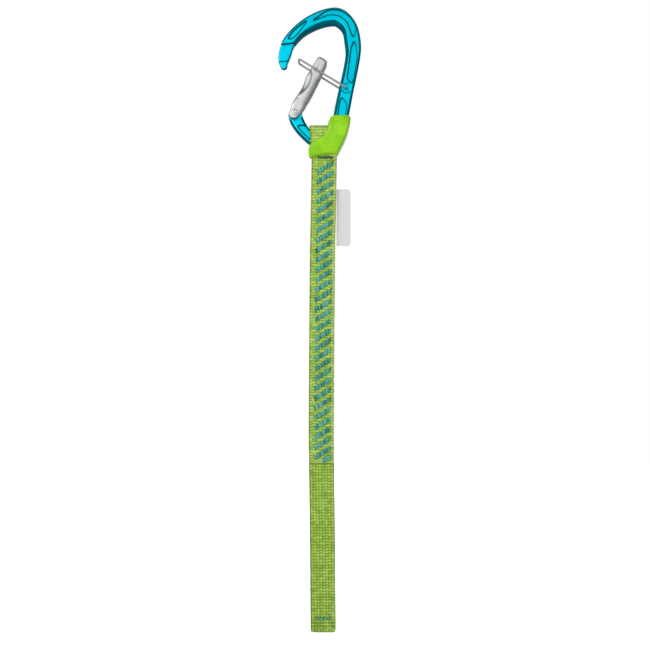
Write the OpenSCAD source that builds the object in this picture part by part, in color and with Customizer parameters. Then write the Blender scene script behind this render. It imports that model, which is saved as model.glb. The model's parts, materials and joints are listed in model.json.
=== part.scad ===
// Long semi-rigid quickdraw: an open-gate carabiner with a wire gate holder,
// a rubber keeper and a stiff sewn webbing sling that ends in an open loop.
// X runs across the carabiner, Y through its thickness, Z up along the sling.
// The origin is the inside of the carabiner's crown, where it hangs on an anchor.

/* [Carabiner] */
// Thickness of the forged bar
bar_depth = 9; // [8.6:0.1:9.4]
// Half thickness of the machined nose behind its shoulder
nose_half = 2.4; // [2:0.1:2.4]
// Half thickness of the key-shaped nose tip
nose_tip_half = 1.7; // [1.4:0.1:2]
// Depth of the forged pockets
pocket_depth = 0.7; // [0.3:0.1:1]

/* [Gate] */
// Lean of the gate to the right of vertical as it is held open
gate_lean = 28; // [27:0.5:29]
// Distance from the rivet to the end of the gate
gate_reach = 42.7; // [41:0.1:43]
// Thickness of the gate
gate_depth = 8.6; // [8.2:0.1:8.6]
// Diameter of the gate rivet
rivet_d = 3; // [2.5:0.1:3.2]
// Diameter of the bore that holds the gate spring
spring_bore_d = 4.2; // [3.8:0.1:4.4]
// Turns of the gate spring
spring_turns = 7; // [5:1:9]

/* [Gate holder] */
// Diameter of the bail wire
wire_d = 1.3; // [1.2:0.1:1.4]
// Distance of each bail leg from the middle plane
leg_y = 5.5; // [5.4:0.1:5.8]
// Distance from the bail's pivot to its bend
bail_reach = 38.9; // [38:0.1:40]

/* [Sling] */
// Width of the webbing
web_w = 17.5; // [16:0.5:18]
// Thickness of one layer of webbing
web_t = 2; // [1.6:0.1:2.2]
// Thickness of the stiff insert between the layers
insert_t = 1.2; // [0.8:0.1:1.4]
// Half gap inside the open end loop
loop_gap = 3.4; // [3:0.1:4]
// Height of the lowest point of the sling
sling_end = -425.6; // [-440:0.1:-420]

/* [Keeper and label] */
// Half thickness of the keeper at its sleeve and over the webbing
keeper_half = 8.2; // [8:0.1:9]
// Length of the side label
label_len = 39.5; // [30:0.5:45]
// Width of the side label
label_w = 9.3; // [6:0.1:12]

/* [Stitching] */
// Height between one slanting bar tack and the next
tack_pitch = 6.77; // [6:0.01:8]
// Rise of a slanting bar tack across its width
tack_rise = 6.6; // [5:0.1:8]
// Width of a bar tack across the webbing
tack_w = 10.8; // [9:0.1:12]

/* [Hidden] */
$fn = 48;

// Bar of the carabiner from the hinge end to the nose: x, z and width
bar = [
    [-27.8, -61.8, 9.8], [-26.5, -66.4, 9.6], [-23.3, -72.0, 8.7], [-18.7, -77.4, 7.8],
    [-12.5, -81.7, 8.6], [-6.0, -82.7, 10.2], [-0.9, -79.2, 10.5], [2.9, -70.6, 10.3],
    [5.6, -58.3, 10.8], [8.1, -45.9, 10.5], [10.5, -35.3, 10.3], [12.9, -22.0, 10.5],
    [12.8, -13.0, 11.4], [10.4, -2.1, 11.1], [3.1, 5.2, 11.8], [-5.7, 5.1, 11.2],
    [-15.5, 1.5, 10.2], [-24.4, -4.1, 9.0], [-31.7, -12.3, 8.9], [-34.6, -20.0, 8.8],
    [-35.6, -25.0, 7.2], [-35.5, -28.6, 4.8]
];
nose_end = [-35.4, -28.6];
nose_end_r = 2.4;
// The shoulder where the nose flats start, and the edge where the tip thins again
shoulder = [-32.6, -13.9];
tip_edge = [-35.1, -25.7];
nose_slope = 6;

pivot = [-27.6, -61.5];
heel_clear = 5.8;
tang_half = 2;
cam_r = 3.6;
cam_shift = 1.6;
cam_dir = 60;

bail_pivot = [8.3, -45.2];
bail_dir = 148.7;
bail_bore_d = 1.45;
bail_dish_d = 6;
bail_dish_depth = 0.8;

// Forged pockets: x and z of their rims
nose_pocket = [
    [-32.3, -10.8], [-28.3, -9.8], [-23.2, -4.2], [-19.2, 2.0], [-24.8, -1.7], [-29.5, -6.1]
];
crown_pocket = [
    [-14.8, 1.8], [-9.2, 6.4], [-4.3, 9.2], [1.5, 9.5], [6.1, 8.0], [10.1, 4.9], [13.1, 1.1],
    [14.8, -2.9], [14.8, -5.9], [12.8, -9.4], [10.1, -2.9], [8.5, 0.8], [5.5, 3.7],
    [1.5, 5.5], [-4.3, 5.7]
];
spine_pocket = [
    [11.4, -17.6], [13.9, -12.5], [15.8, -22.0], [14.7, -30.9], [12.5, -41.2], [8.8, -38.3],
    [9.5, -32.3], [10.6, -23.5]
];
lower_pocket = [
    [4.9, -51.7], [8.4, -56.3], [7.8, -62.7], [6.4, -70.0], [3.0, -76.0], [0.5, -70.0],
    [2.4, -62.7], [3.1, -57.0]
];
leg_pocket = [[-25.6, -72.1], [-20.2, -71.4], [-16.2, -76.4], [-14.9, -82.6]];

// Middle line and width of the sling as it hangs: x, z, width
sling_line = [
    [-7.2, -93, web_w], [-7.6, -120, web_w], [-8.4, -158, web_w], [-9.1, -242, web_w],
    [-9.3, -291, web_w], [-8.8, -330, web_w], [-8.4, -361, web_w], [-7.9, -426, web_w]
];
loop_top = -307;
round_end = sling_end + web_t + loop_gap;
sling_half = insert_t / 2 + web_t;
neck_z = -96;
neck_gap = 0.35;
insert_top = neck_z - 4;
fold_z = -70;
bar_clear = 0.35;
layer_in = bar_depth / 2 + bar_clear;
layer_out = layer_in + web_t;

label_top = -114.9;
label_t = 0.5;
label_x = 1.75;
tack_t = 0.5;
tack_band = 3.1;
stripe_top = -100.4;
stripe_count = 31;
top_tack_x = -6.4;
top_tack_z = -92.4;
top_tack_h = 1.2;
low_tack_z = -413.6;

// One point of a smooth curve through four neighbours
function curve(a, b, c, d, t) =
    0.5 * (2 * b + (c - a) * t + (2 * a - 5 * b + 4 * c - d) * t * t
    + (3 * b - a - 3 * c + d) * t * t * t);

// Smooth open line through points, with n steps between each pair
function smooth(p, n) = [
    for (i = [0:len(p) - 2]) for (k = [0:n - 1])
        curve(p[max(i - 1, 0)], p[i], p[i + 1], p[min(i + 2, len(p) - 1)], k / n),
    p[len(p) - 1]
];

// Smooth closed loop through points
function smooth_loop(p, n) = let (m = len(p)) [
    for (i = [0:m - 1]) for (k = [0:n - 1])
        curve(p[(i + m - 1) % m], p[i], p[(i + 1) % m], p[(i + 2) % m], k / n)
];

// Points on one side of a line of x, z, width; extra widens it on both sides
function side(line, s, extra) = [
    for (i = [0:len(line) - 1])
        let (a = line[max(i - 1, 0)], b = line[min(i + 1, len(line) - 1)])
        let (d = [b[0] - a[0], b[1] - a[1]], h = line[i][2] / 2 + extra)
        [line[i][0] - s * h * d[1] / norm(d), line[i][1] + s * h * d[0] / norm(d)]
];

function reversed(p) = [for (i = [len(p) - 1:-1:0]) p[i]];

function ribbon(line, extra = 0) = concat(side(line, 1, extra), reversed(side(line, -1, extra)));

// A flat outline in x and z, given thickness along Y and centred on the middle plane
module plate(t) {
    rotate([90, 0, 0]) linear_extrude(t, center = true) children();
}

// A flat outline in y and z, given length along X and centred on x
module along_x(x, length) {
    translate([x, 0, 0]) rotate([90, 0, 90]) linear_extrude(length, center = true) children();
}

// A round bar along Y
module cross_pin(at, d, length) {
    translate([at[0], 0, at[1]]) rotate([90, 0, 0]) cylinder(d = d, h = length, center = true);
}

module bar_outline(extra = 0) {
    polygon(ribbon(smooth(bar, 5), extra));
    translate(nose_end) circle(r = nose_end_r + extra);
}

// Both faces of the bar cut down to a half thickness, below a sloping edge near the nose
module nose_cut(at, half) {
    for (s = [-1, 1])
        translate([at[0], s * (half + 5), at[1]])
            rotate([0, -nose_slope, 0])
                translate([-12, -5, -24]) cube([24, 10, 24]);
}

module pocket(rim) {
    for (s = [-1, 1])
        translate([0, s * bar_depth / 2, 0])
            plate(2 * pocket_depth) polygon(smooth_loop(rim, 3));
}

module carabiner_frame() {
    color("deepskyblue") {
        difference() {
            union() {
                difference() {
                    plate(bar_depth) bar_outline();
                    cross_pin(pivot, 2 * heel_clear, bar_depth + 1);
                    nose_cut(shoulder, nose_half);
                    nose_cut(tip_edge, nose_tip_half);
                    pocket(nose_pocket);
                    pocket(crown_pocket);
                    pocket(spine_pocket);
                    pocket(lower_pocket);
                    pocket(leg_pocket);
                }
                intersection() {
                    plate(2 * tang_half) bar_outline();
                    cross_pin(pivot, 2 * heel_clear + 2, bar_depth);
                }
                cross_pin(pivot + cam_shift * [sin(cam_dir), cos(cam_dir)], 2 * cam_r, 2 * tang_half);
            }
            cross_pin(pivot, rivet_d, bar_depth + 1);
            cross_pin(bail_pivot, bail_bore_d, bar_depth + 1);
            for (s = [-1, 1])
                translate([0, s * bar_depth / 2, 0])
                    cross_pin(bail_pivot, bail_dish_d, 2 * bail_dish_depth);
        }
    }
}

// Places a shape drawn upright from the rivet onto the leaning gate
module on_gate() {
    translate([pivot[0], 0, pivot[1]]) rotate([0, gate_lean, 0]) children();
}

gate_left = [
    [-3.9, 0], [-4.9, 6], [-4.8, 11], [-4.1, 16], [-4.3, 21], [-5.1, 26], [-4.8, 31],
    [-4.5, 37], [-3.6, gate_reach]
];
gate_right = [[3.7, gate_reach - 0.7], [4.4, 35], [4.9, 28], [5.1, 20], [5.1, 12], [4.5, 3]];
gate_slot_half = nose_half + 0.35;
gate_slot_z = 29.5;
fork_half = tang_half + 0.3;
fork_z = 6.8;
spring_top = 26.5;
plunger_z = 5;
plunger_len = 7;
heel_r = 4.4;
heel_shift = -1.1;
head_d = 4.4;
detent = [-0.2, 33.4];
gate_round_r = 5.7;
scoop_r = 22.5;
scoop_near = 3.62;
scoop_z = 22;
scoop_turn = 36.87;

module gate_body() {
    color("silver") on_gate() {
        difference() {
            union() {
                intersection() {
                    plate(gate_depth) polygon(concat(smooth(gate_left, 3), smooth(gate_right, 3)));
                    translate([0, 0, -1]) cylinder(r = gate_round_r, h = gate_reach + 2);
                }
                cross_pin([0, heel_shift], 2 * heel_r, gate_depth);
            }
            translate([-8, -fork_half, -8]) cube([16, 2 * fork_half, fork_z + 8]);
            translate([-8, -gate_slot_half, gate_slot_z]) cube([16, 2 * gate_slot_half, 20]);
            cylinder(d = spring_bore_d, h = spring_top);
            cross_pin([0, 0], rivet_d + 0.1, gate_depth + 1);
            for (s = [-1, 1]) {
                translate([0, s * gate_depth / 2, 0]) cross_pin([0, 0], head_d + 0.4, 1);
                translate([0, s * gate_depth / 2, 0]) cross_pin(detent, 2.4, 0.5);
            }
            // leaf-shaped thumb scoop down the outer side of both faces
            for (s = [-1, 1])
                translate([0, 0, scoop_z]) rotate([0, 0, s * scoop_turn])
                    translate([0, s * (scoop_near + scoop_r), 0]) rotate([0, 90, 0])
                        cylinder(r = scoop_r, h = 30, center = true);
        }
    }
}

module gate_rivet() {
    color("lightgrey") {
        cross_pin(pivot, rivet_d, gate_depth + 0.2);
        for (s = [-1, 1])
            translate([0, s * (gate_depth / 2 - 0.1), 0]) cross_pin(pivot, head_d, 0.5);
    }
}

module gate_plunger() {
    color("gray") on_gate() {
        translate([0, 0, plunger_z + spring_bore_d / 2 - 0.05]) {
            sphere(d = spring_bore_d - 0.1);
            cylinder(d = spring_bore_d - 0.1, h = plunger_len - spring_bore_d / 2);
        }
    }
}

// Rings of a coil: radius, height, turns, wire and steps per turn
function coil_ring(r, h, turns, wire, step, i, sides) = let (a = 360 * i / step) [
    for (k = [0:sides - 1]) let (b = 360 * k / sides) [
        (r + wire / 2 * cos(b)) * cos(a),
        (r + wire / 2 * cos(b)) * sin(a),
        h * i / (step * turns) + wire / 2 * sin(b)
    ]
];

module coil(r, h, turns, wire) {
    step = 12;
    sides = 6;
    rings = step * turns;
    points = [for (i = [0:rings]) each coil_ring(r, h, turns, wire, step, i, sides)];
    walls = [
        for (i = [0:rings - 1]) for (k = [0:sides - 1]) let (n = (k + 1) % sides)
            [i * sides + k, (i + 1) * sides + k, (i + 1) * sides + n, i * sides + n]
    ];
    ends = [
        [for (k = [0:sides - 1]) k],
        [for (k = [sides - 1:-1:0]) rings * sides + k]
    ];
    polyhedron(points, concat(walls, ends));
}

module gate_spring() {
    spring_wire = 0.5;
    from = plunger_z + plunger_len + spring_wire / 2 + 0.05;
    color("dimgray") on_gate()
        translate([0, 0, from])
            coil(1.6, spring_top - from - spring_wire / 2 - 0.05, spring_turns, spring_wire);
}

// One leg of the bail from its pin to the bend, on side s
module bail_leg(s, length) {
    bend_r = 1.4;
    translate([0, s * leg_y, 0]) {
        translate([-length, 0, 0]) rotate([0, 90, 0]) cylinder(d = wire_d, h = length);
        sphere(d = wire_d);
    }
    rotate([s * 90, 0, 0]) translate([0, 0, -leg_y]) cylinder(d = wire_d, h = leg_y - 1.2);
    translate([-length, s * (leg_y - bend_r), 0]) rotate([0, 0, s > 0 ? 90 : 180])
        rotate_extrude(angle = 90) translate([bend_r, 0]) circle(d = wire_d);
}

module wire_bail() {
    bend_r = 1.4;
    length = bail_reach - bend_r;
    color("lightsteelblue")
        translate([bail_pivot[0], 0, bail_pivot[1]]) rotate([0, 180 - bail_dir, 0]) {
            bail_leg(1, length);
            bail_leg(-1, length);
            translate([-bail_reach, 0, 0]) rotate([90, 0, 0])
                cylinder(d = wire_d, h = 2 * (leg_y - bend_r), center = true);
        }
}

// The end of the sling that passes round the bar, seen from the side
module top_loop_profile(half, apex, foot) {
    cover = 4.6;
    points = concat(
        [for (a = [0:15:180]) [half * cos(a), apex - cover + cover * sin(a)]],
        [[-half, -84], [-foot, -91.5], [-foot, -97], [foot, -97], [foot, -91.5], [half, -84]]
    );
    polygon(points);
}

module sling_top_loop() {
    loop_x = -8.4;
    color("yellowgreen")
        difference() {
            intersection() {
                along_x(loop_x, 40) difference() {
                    top_loop_profile(layer_out, fold_z, sling_half);
                    top_loop_profile(layer_in, fold_z - web_t, 0.02);
                }
                plate(30) polygon([
                    [-17.9, fold_z + 1], [1, fold_z + 1], [1.5, neck_z + sling_half + neck_gap],
                    [-15.9, neck_z + sling_half + neck_gap]
                ]);
            }
            plate(2 * layer_in - 0.2) bar_outline(0.3);
        }
}

keeper_rim = [
    [-2.6, -64.1], [4, -63.9], [10.6, -64.1], [11.3, -67.0], [9.9, -73.1], [7.4, -80.2],
    [3.8, -87.4], [1.9, -90.5], [-4, -90.9], [-11.1, -91.9], [-15.7, -92.8], [-17.8, -91.6],
    [-18.2, -88.6], [-17.2, -85.2], [-15.0, -82.7], [-11.1, -81.2], [-7.9, -78.9],
    [-5.5, -75.9], [-4.3, -71.8], [-3.8, -67.2]
];
module rubber_keeper() {
    sleeve_half = 6.4;
    color("lawngreen")
        difference() {
            intersection() {
                plate(2 * keeper_half) polygon(smooth_loop(keeper_rim, 3));
                along_x(0, 80) polygon(concat(
                    [[-sleeve_half, -60], [sleeve_half, -60], [sleeve_half + 0.4, -68]],
                    [[keeper_half, -73], [keeper_half, -86], [5.2, -94]],
                    [[-5.2, -94], [-keeper_half, -86], [-keeper_half, -73], [-sleeve_half - 0.4, -68]]
                ));
            }
            plate(bar_depth + 0.1) bar_outline(0.05);
            along_x(-9, 21.2)
                top_loop_profile(layer_out + 0.05, fold_z + 0.1, sling_half + 0.05);
            translate([-30, -layer_out, -82]) cube([15, 2 * layer_out, 12]);
            translate([top_tack_x, 0, top_tack_z])
                cube([tack_w + 0.4, 2 * (sling_half + tack_t) + 0.2, top_tack_h + 0.2], center = true);
        }
}

module web_edge(extra = 0) {
    polygon(ribbon(smooth(sling_line, 4), extra));
}

// Half gap between the layers down the open loop: gap, z
loop_side = [
    [insert_t / 2, loop_top], [1.3, -330], [2.3, -360], [3.1, -390],
    [loop_gap, -410], [loop_gap, round_end]
];

// Outline points of the open loop's right side and round end, moved out by extra
function loop_edge(extra) = concat(
    [for (p = smooth(loop_side, 3)) [p[0] + extra, p[1]]],
    [for (a = [-15:-15:-75])
        [(loop_gap + extra) * cos(a), round_end + (loop_gap + extra) * sin(a)]]
);

// A closed outline from its right side, mirrored about the middle plane
function both_sides(p) = concat(p, reversed([for (q = p) [-q[0], q[1]]]));

module webbing_sling() {
    neck = [for (a = [75:-15:0]) [sling_half * cos(a), neck_z + sling_half * sin(a)]];
    color("yellowgreen")
        intersection() {
            along_x(-8, 40) difference() {
                polygon(both_sides(concat(neck, loop_edge(web_t))));
                polygon(both_sides(concat([[insert_t / 2, insert_top]], loop_edge(0))));
            }
            plate(30) web_edge();
        }
}

module sling_stiffener() {
    color("dimgray")
        intersection() {
            plate(insert_t - 0.04) web_edge(-2.2);
            translate([-30, -2, loop_top + 0.4]) cube([60, 4, insert_top - loop_top - 0.6]);
        }
}

// x of the sling's middle line at a height
function sling_x(z) = lookup(-z, [for (p = sling_line) [-p[1], p[0]]]);

// A bar tack leaning up to the right on one face
module slant_tack(z, y, from, to) {
    x = sling_x(z);
    translate([x, y, z]) plate(tack_t) polygon([
        [from, tack_rise * (from / tack_w)], [to, tack_rise * (to / tack_w)],
        [to, tack_rise * (to / tack_w) - tack_band], [from, tack_rise * (from / tack_w) - tack_band]
    ]);
}

module bartack_column(y) {
    for (i = [0:stripe_count - 2])
        slant_tack(stripe_top - i * tack_pitch, y, -tack_w / 2, tack_w / 2);
    slant_tack(stripe_top - (stripe_count - 1) * tack_pitch, y, -0.2, tack_w / 2);
}

module front_bartacks() {
    color("teal") bartack_column(-sling_half - tack_t / 2);
}

module back_bartacks() {
    color("teal") bartack_column(sling_half + tack_t / 2);
}

module top_bartack() {
    color("midnightblue")
        for (s = [-1, 1])
            translate([top_tack_x, s * (sling_half + tack_t / 2), top_tack_z])
                cube([tack_w, tack_t, top_tack_h], center = true);
}

module lower_bartack() {
    color("teal")
        translate([sling_x(low_tack_z), -loop_gap - web_t - tack_t / 2 - 0.05, low_tack_z])
            cube([tack_w, tack_t, 2], center = true);
}

module label_tag() {
    corner = 2.4;
    foot = label_top - label_len;
    color("white") {
        plate(label_t) {
            translate([label_x, foot]) square([label_w - corner, label_len]);
            translate([label_x, foot + corner]) square([label_w, label_len - 2 * corner]);
            for (z = [foot + corner, label_top - corner])
                translate([label_x + label_w - corner, z]) circle(r = corner);
        }
        translate([label_x, 0, foot]) cylinder(d = label_t, h = label_len);
    }
}

carabiner_frame();
gate_rivet();
gate_body();
gate_plunger();
gate_spring();
wire_bail();
sling_top_loop();
rubber_keeper();
top_bartack();
webbing_sling();
sling_stiffener();
front_bartacks();
back_bartacks();
lower_bartack();
label_tag();
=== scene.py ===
import json
import math
from itertools import product

import bmesh
import bpy
import numpy as np
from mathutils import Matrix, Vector, kdtree


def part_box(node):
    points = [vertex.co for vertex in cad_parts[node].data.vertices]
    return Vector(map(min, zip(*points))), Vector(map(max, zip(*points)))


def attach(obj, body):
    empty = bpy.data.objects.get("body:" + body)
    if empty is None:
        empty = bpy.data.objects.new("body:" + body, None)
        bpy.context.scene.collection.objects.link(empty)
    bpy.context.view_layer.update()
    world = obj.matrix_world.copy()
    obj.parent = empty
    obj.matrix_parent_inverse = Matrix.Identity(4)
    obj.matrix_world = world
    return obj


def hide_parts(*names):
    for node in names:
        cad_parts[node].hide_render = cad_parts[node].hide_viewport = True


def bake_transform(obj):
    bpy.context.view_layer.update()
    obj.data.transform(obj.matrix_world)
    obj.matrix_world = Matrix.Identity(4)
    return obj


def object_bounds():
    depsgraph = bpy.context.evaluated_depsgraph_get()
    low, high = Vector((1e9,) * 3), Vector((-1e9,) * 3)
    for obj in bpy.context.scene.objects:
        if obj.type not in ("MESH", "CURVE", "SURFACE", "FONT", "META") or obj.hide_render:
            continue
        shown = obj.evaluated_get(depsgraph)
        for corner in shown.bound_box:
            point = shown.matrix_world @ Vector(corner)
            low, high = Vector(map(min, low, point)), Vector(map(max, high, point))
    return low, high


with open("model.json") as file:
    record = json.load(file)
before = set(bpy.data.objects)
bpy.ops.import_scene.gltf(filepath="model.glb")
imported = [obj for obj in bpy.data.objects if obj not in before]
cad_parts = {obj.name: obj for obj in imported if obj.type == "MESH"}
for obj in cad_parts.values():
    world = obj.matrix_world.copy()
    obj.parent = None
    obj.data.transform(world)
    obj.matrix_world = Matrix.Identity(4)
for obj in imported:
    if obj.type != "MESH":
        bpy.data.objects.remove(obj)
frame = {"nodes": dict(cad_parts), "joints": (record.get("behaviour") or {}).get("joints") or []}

MM = 0.001
cad_low, cad_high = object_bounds()
joints = {j["name"]: j for j in frame["joints"]}
FRONT_BACK = (-1, 1)

# ---------------------------------------------------------------- outlines and fields, in mm


def smooth_line(points, steps, closed=False):
    """A smooth curve through points, with steps between each pair."""
    p = np.asarray(points, float)
    n = len(p)
    out = []
    for i in range(n if closed else n - 1):
        around = (i - 1, i, i + 1, i + 2)
        a, b, c, d = (p[k % n] if closed else p[min(max(k, 0), n - 1)] for k in around)
        for k in range(steps):
            t = k / steps
            cubic = (3 * b - a - 3 * c + d) * t**3
            out.append(0.5 * (2 * b + (c - a) * t + (2 * a - 5 * b + 4 * c - d) * t * t + cubic))
    if not closed:
        out.append(p[-1])
    return np.array(out)


def cut_outlines(node, y):
    """Closed outlines in x and z, in mm, where the plane at y mm cuts a CAD node, largest first."""
    bm = bmesh.new()
    bm.from_mesh(frame["nodes"][node].data)
    bmesh.ops.remove_doubles(bm, verts=bm.verts, dist=1e-7)
    found = bmesh.ops.bisect_plane(
        bm, geom=bm.verts[:] + bm.edges[:] + bm.faces[:], plane_co=(0, y * MM, 0), plane_no=(0, 1, 0)
    )["geom_cut"]
    beside = {}
    for e in found:
        if isinstance(e, bmesh.types.BMEdge):
            for v, w in (e.verts, reversed(e.verts)):
                beside.setdefault(v, []).append(w)
    loops = []
    while beside:
        v = next(iter(beside))
        loop = []
        while v in beside:
            loop.append((v.co.x / MM, v.co.z / MM))
            v = next((w for w in beside.pop(v) if w in beside), None)
        loops.append(np.array(loop))
    bm.free()
    spans = [np.ptp(loop[:, 0]) * np.ptp(loop[:, 1]) for loop in loops]
    return [loops[i] for i in np.argsort(spans)[::-1]]


def inside_outline(outline, x, z):
    """Signed distance from an outline at every x and z: below zero inside it."""
    gx, gz = np.meshgrid(x, z, indexing="ij")
    near = np.full(gx.shape, np.inf)
    within = np.zeros(gx.shape, bool)
    for (px, pz), (qx, qz) in zip(outline, np.roll(outline, -1, axis=0)):
        ex, ez = qx - px, qz - pz
        t = np.clip(((gx - px) * ex + (gz - pz) * ez) / (ex * ex + ez * ez + 1e-12), 0, 1)
        near = np.minimum(near, (gx - px - t * ex) ** 2 + (gz - pz - t * ez) ** 2)
        if pz != qz:
            within ^= ((pz > gz) != (qz > gz)) & (gx < ex * (gz - pz) / ez + px)
    return np.where(within, -1, 1) * np.sqrt(near)


def blend_max(a, b, k):
    """The larger of two fields, rounded over k mm where they meet."""
    h = np.maximum(k - np.abs(a - b), 0) / k
    return np.maximum(a, b) + h * h * k / 4


def blend_min(a, b, k):
    return -blend_max(-a, -b, k)


def rounded(out, up, edge):
    """Distance from a rounded edge, given how far past its centre a point is outwards and upwards."""
    return np.hypot(np.maximum(out, 0), np.maximum(up, 0)) + np.minimum(np.maximum(out, up), 0) - edge


def rounded_slab(flat, y, half, edge):
    """A flat outline's distance given thickness along y, with rounded edges."""
    return rounded(flat[:, None, :] + edge, np.abs(y)[None, :, None] - (half - edge), edge)


def axes_between(low, high, step):
    return [np.arange(a, b + step, step) for a, b in zip(low, high)]


def skin(name, field, axes):
    """A mesh on the zero level of a field, with one vertex in each cell it crosses."""
    step = axes[0][1] - axes[0][0]
    inside = field < 0
    cells = tuple(n - 1 for n in field.shape)
    unit = np.eye(3, dtype=int)
    corners = list(product((0, 1), repeat=3))
    count = sum(
        inside[tuple(slice(o, o + n) for o, n in zip(corner, cells))].astype(np.int8) for corner in corners
    )
    crossed = (count > 0) & (count < 8)
    cell = np.argwhere(crossed)
    number = np.full(cells, -1)
    number[crossed] = np.arange(len(cell))
    # each vertex is the mean of the places where its cell's edges are crossed
    total, hits = np.zeros((len(cell), 3)), np.zeros(len(cell))
    for axis, corner in product(range(3), corners):
        if corner[axis]:
            continue
        a = field[tuple((cell + corner).T)]
        b = field[tuple((cell + corner + unit[axis]).T)]
        hit = (a < 0) != (b < 0)
        share = a[hit] / (a[hit] - b[hit])
        total[hit] += np.array(corner) + share[:, None] * unit[axis]
        hits[hit] += 1
    low = np.array([a[0] for a in axes])
    # each crossed edge of the grid gives one face, between the four cells round it
    quads = []
    for axis, u, v in ((0, 1, 2), (1, 2, 0), (2, 0, 1)):
        span = [slice(1, -1)] * 3
        span[axis] = slice(0, -1)
        near = inside[tuple(span)]
        span[axis] = slice(1, None)
        far = inside[tuple(span)]
        for rising, edges in ((True, near & ~far), (False, ~near & far)):
            at = np.argwhere(edges) + 1 - unit[axis]
            ring = [at - unit[u] - unit[v], at - unit[v], at, at - unit[u]]
            if not rising:
                ring.reverse()
            quads.append(np.stack([number[tuple(r.T)] for r in ring], 1))
    return mesh_object(name, low + (cell + total / hits[:, None]) * step, np.concatenate(quads).tolist())


def read_flat(flat, x, z, co):
    """Values known over x and z, read at points in mm."""
    u = np.clip((co[:, 0] - x[0]) / (x[1] - x[0]), 0, len(x) - 1.001)
    v = np.clip((co[:, 2] - z[0]) / (z[1] - z[0]), 0, len(z) - 1.001)
    i, k = u.astype(int), v.astype(int)
    u, v = u - i, v - k
    value = (1 - u) * ((1 - v) * flat[i, k] + v * flat[i, k + 1])
    return value + u * ((1 - v) * flat[i + 1, k] + v * flat[i + 1, k + 1])


def in_mm(corners):
    """Both corners of a box, from metres to mm."""
    return [np.array(c) / MM for c in corners]


def vertices_of(ob):
    """The vertices of a mesh, in mm."""
    return np.array([v.co for v in ob.data.vertices]) / MM


def keep_value(ob, name, values):
    """Store one number for each vertex of a mesh, for its material to read."""
    layer = ob.data.attributes.new(name, "FLOAT", "POINT")
    layer.data.foreach_set("value", np.asarray(values, np.float32).ravel())


# ---------------------------------------------------------------- meshes


def mesh_object(name, verts, faces):
    """A smooth mesh from vertices in mm."""
    mesh = bpy.data.meshes.new(name)
    mesh.from_pydata((np.asarray(verts) * MM).tolist(), [], faces)
    mesh.polygons.foreach_set("use_smooth", [True] * len(mesh.polygons))
    mesh.update()
    ob = bpy.data.objects.new(name, mesh)
    bpy.context.scene.collection.objects.link(ob)
    return ob


def sweep_frames(path):
    """Tangent and two side directions along a path, carried along without twist."""
    tangent = np.gradient(path, axis=0)
    tangent /= np.linalg.norm(tangent, axis=1)[:, None]
    side = np.cross(tangent[0], (0.3, 0.5, 0.81))
    sides = []
    for t in tangent:
        side = side - t * (side @ t)
        side /= np.linalg.norm(side)
        sides.append(side)
    sides = np.array(sides)
    return tangent, sides, np.cross(tangent, sides)


def tubes(name, paths, radius, sides, tones=None):
    """Round tubes with domed ends along several paths in mm, as one mesh, each with its own tone."""
    dome_long, dome_wide = 0.6 * radius, 0.55 * radius
    turn = np.linspace(0, 2 * math.pi, sides, endpoint=False)[None, :, None]
    verts, faces, shades, start = [], [], [], 0
    for tone, path in zip(tones or [1.0] * len(paths), paths):
        path = np.asarray(path, float)
        tangent, a, b = sweep_frames(path)
        girth = np.concatenate([[dome_wide], np.full(len(path), radius), [dome_wide]])
        path = np.vstack([path[0] - tangent[0] * dome_long, path, path[-1] + tangent[-1] * dome_long])
        a, b = np.vstack([a[0], a, a[-1]]), np.vstack([b[0], b, b[-1]])
        ring = path[:, None] + girth[:, None, None] * (np.cos(turn) * a[:, None] + np.sin(turn) * b[:, None])
        n = len(path)
        verts.append(ring.reshape(-1, 3))
        # painted shade: a thread is darker at its ends, where it goes down into the cloth
        shades.append(np.repeat(tone * np.sin(np.linspace(0, math.pi, n)) ** 0.5, sides))
        for i, k in product(range(n - 1), range(sides)):
            m = (k + 1) % sides
            row = start + i * sides
            faces.append((row + k, row + m, row + sides + m, row + sides + k))
        last = start + (n - 1) * sides
        faces += [tuple(start + k for k in reversed(range(sides))), tuple(range(last, last + sides))]
        start += n * sides
    ob = mesh_object(name, np.vstack(verts), faces)
    keep_value(ob, "tone", np.concatenate(shades))
    return ob


# ---------------------------------------------------------------- materials


def node(tree, kind, inputs=None, **settings):
    made = tree.nodes.new("ShaderNode" + kind)
    for key, value in settings.items():
        setattr(made, key, value)
    for key, value in (inputs or {}).items():
        if isinstance(value, bpy.types.NodeSocket):
            tree.links.new(value, made.inputs[key])
        else:
            made.inputs[key].default_value = value
    return made


def ramp(tree, value, *stops):
    made = node(tree, "ValToRGB", {"Fac": value})
    elements = made.color_ramp.elements
    while len(elements) < len(stops):
        elements.new(0.5)
    for element, (at, colour) in zip(elements, stops):
        element.position = at
        element.color = (*colour, 1)
    return made.outputs["Color"]


def grey(value):
    return (value, value, value)


def surface(name, **fixed):
    """A material, its node tree and its shader; fixed sets the shader's plain sockets."""
    made = bpy.data.materials.new(name)
    made.use_nodes = True
    shader = made.node_tree.nodes["Principled BSDF"]
    for key, value in fixed.items():
        shader.inputs[key.replace("_", " ")].default_value = value
    return made, made.node_tree, shader


def noise(tree, where, scale, detail=3.0):
    return node(tree, "TexNoise", {"Vector": where, "Scale": scale, "Detail": detail}).outputs["Fac"]


def bump(tree, shader, height, distance, strength=1.0):
    made = node(tree, "Bump", {"Height": height, "Distance": distance, "Strength": strength})
    tree.links.new(made.outputs["Normal"], shader.inputs["Normal"])


def place(tree, kind="Object"):
    return node(tree, "TexCoord").outputs[kind]


def stored(tree, name):
    """A number kept for each vertex of the mesh."""
    return node(tree, "Attribute", attribute_name=name).outputs["Fac"]


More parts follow.
